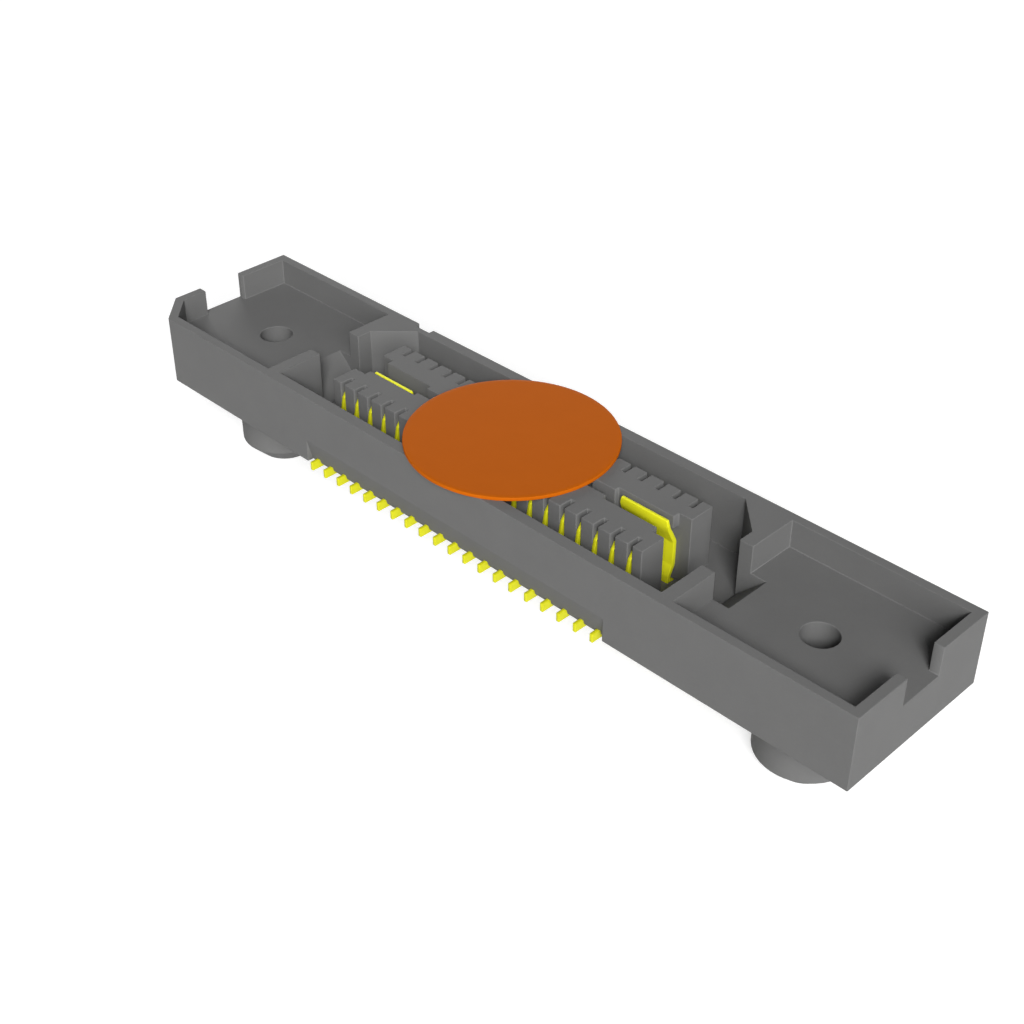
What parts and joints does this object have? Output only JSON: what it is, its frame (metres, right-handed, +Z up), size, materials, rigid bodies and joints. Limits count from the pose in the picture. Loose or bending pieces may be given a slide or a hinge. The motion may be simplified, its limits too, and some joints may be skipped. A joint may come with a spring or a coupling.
{
  "type": "board-to-board connector",
  "caption": "Low-profile surface-mount board-to-board socket with two rows of blade contacts, ground springs, locating pegs, guide holes and a pick-up pad.",
  "frame": {"origin": "midway between the two locating pegs, level with their lower ends", "axes": "+X along the contact rows, away from the cut corner; +Y across the rows, towards the wall with the key groove; +Z up, the way the mating header leaves"},
  "size_m": [0.0366, 0.0082, 0.007],
  "materials": {
    "housing_plastic": "dark grey glass-filled moulding, matte",
    "contact_gold": "yellow gold plating over blanked copper alloy strip",
    "spring_gold": "yellow gold plating over bent copper alloy strip",
    "pad_film": "amber heat-resistant film, smooth"
  },
  "bodies": {
    "root": {"housing": "housing_plastic", "front_contact_01": "contact_gold", "front_contact_02": "contact_gold", "front_contact_03": "contact_gold", "front_contact_04": "contact_gold", "front_contact_05": "contact_gold", "front_contact_06": "contact_gold", "front_contact_07": "contact_gold", "front_contact_08": "contact_gold", "front_contact_09": "contact_gold", "front_contact_10": "contact_gold", "front_contact_11": "contact_gold", "front_contact_12": "contact_gold", "front_contact_13": "contact_gold", "front_contact_14": "contact_gold", "front_contact_15": "contact_gold", "front_contact_16": "contact_gold", "front_contact_17": "contact_gold", "front_contact_18": "contact_gold", "front_contact_19": "contact_gold", "front_contact_20": "contact_gold", "back_contact_01": "contact_gold", "back_contact_02": "contact_gold", "back_contact_03": "contact_gold", "back_contact_04": "contact_gold", "back_contact_05": "contact_gold", "back_contact_06": "contact_gold", "back_contact_07": "contact_gold", "back_contact_08": "contact_gold", "back_contact_09": "contact_gold", "back_contact_10": "contact_gold", "back_contact_11": "contact_gold", "back_contact_12": "contact_gold", "back_contact_13": "contact_gold", "back_contact_14": "contact_gold", "back_contact_15": "contact_gold", "back_contact_16": "contact_gold", "back_contact_17": "contact_gold", "back_contact_18": "contact_gold", "back_contact_19": "contact_gold", "back_contact_20": "contact_gold", "left_ground_spring": "spring_gold", "centre_left_ground_spring": "spring_gold", "centre_right_ground_spring": "spring_gold", "right_ground_spring": "spring_gold", "pickup_pad": "pad_film"}
  },
  "joints": []
}
